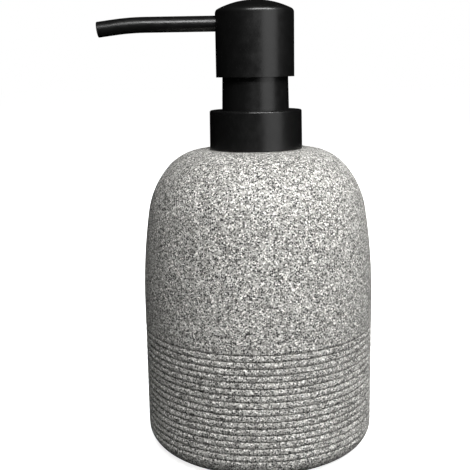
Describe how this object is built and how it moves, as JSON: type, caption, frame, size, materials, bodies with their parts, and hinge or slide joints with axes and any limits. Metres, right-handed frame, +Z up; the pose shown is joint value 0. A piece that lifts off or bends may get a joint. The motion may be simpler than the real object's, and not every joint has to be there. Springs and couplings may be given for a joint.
{
  "type": "soap pump dispenser",
  "caption": "Counter-top liquid soap dispenser: ribbed stone-effect bottle with a matte black press pump and a long side spout.",
  "frame": {"origin": "centre of the anti-slip pad's underside, on the bottle's axis", "axes": "+Z up along the bottle's and pump's axis; the spout points along -X"},
  "size_m": [0.0992, 0.0852, 0.1646],
  "materials": {
    "stone_resin": "satin cast polyresin with fine dark speckle",
    "eva_foam": "matte closed-cell pad",
    "black_abs": "satin black soft-touch",
    "black_pp": "moulded black",
    "natural_pp": "translucent natural moulding",
    "white_pe": "soft white polyethylene",
    "seal_rubber": "matte nitrile",
    "steel": "drawn and polished stainless"
  },
  "bodies": {
    "bottle": {"bottle_body": "stone_resin", "base_disc": "stone_resin", "base_pad": "eva_foam"},
    "neck": {"neck_bush": "black_pp", "neck_seal_ring": "seal_rubber"},
    "pump_core": {"pump_housing": "natural_pp", "bottle_gasket": "white_pe", "guide_sleeve": "black_abs", "ball_cage": "natural_pp", "dip_tube": "natural_pp", "return_spring": "steel"},
    "collar": {"screw_cap": "black_pp", "collar_cover": "black_abs"},
    "plunger": {"stem": "natural_pp", "piston_cup": "white_pe", "piston_retainer": "natural_pp"},
    "head": {"head_shell": "black_abs", "head_insert": "black_pp", "spout_tube": "black_abs"},
    "inlet_valve": {"inlet_ball": "steel"},
    "outlet_valve": {"outlet_ball": "steel"}
  },
  "joints": [
    {"name": "pump_removal", "type": "slide", "parent": "bottle", "child": "neck", "axis": [0, 0, 1], "range_m": [0, 0.12]},
    {"name": "pump_rise", "type": "slide", "parent": "neck", "child": "pump_core", "axis": [0, 0, 1], "range_m": [0, 0.00636]},
    {"name": "collar_unscrew", "type": "hinge", "parent": "pump_core", "child": "collar", "pos_m": [0, 0, 0.1175], "axis": [0, 0, 1], "range_deg": [0, 540]},
    {"name": "head_press", "type": "slide", "parent": "pump_core", "child": "plunger", "axis": [0, 0, -1], "range_m": [0, 0.0112], "stiffness_N_per_m": 600, "springref_m": -0.01, "deforming": ["return_spring"]},
    {"name": "head_swivel", "type": "hinge", "parent": "plunger", "child": "head", "pos_m": [0, 0, 0.1475], "axis": [0, 0, 1], "continuous": true},
    {"name": "inlet_ball_lift", "type": "slide", "parent": "pump_core", "child": "inlet_valve", "axis": [0, 0, 1], "range_m": [0, 0.0015]},
    {"name": "outlet_ball_lift", "type": "slide", "parent": "plunger", "child": "outlet_valve", "axis": [0, 0, 1], "range_m": [0, 0.0012]}
  ],
  "couplings": [
    {"joint": "pump_rise", "follows": "collar_unscrew", "m_per_rad": 0.00067375}
  ]
}
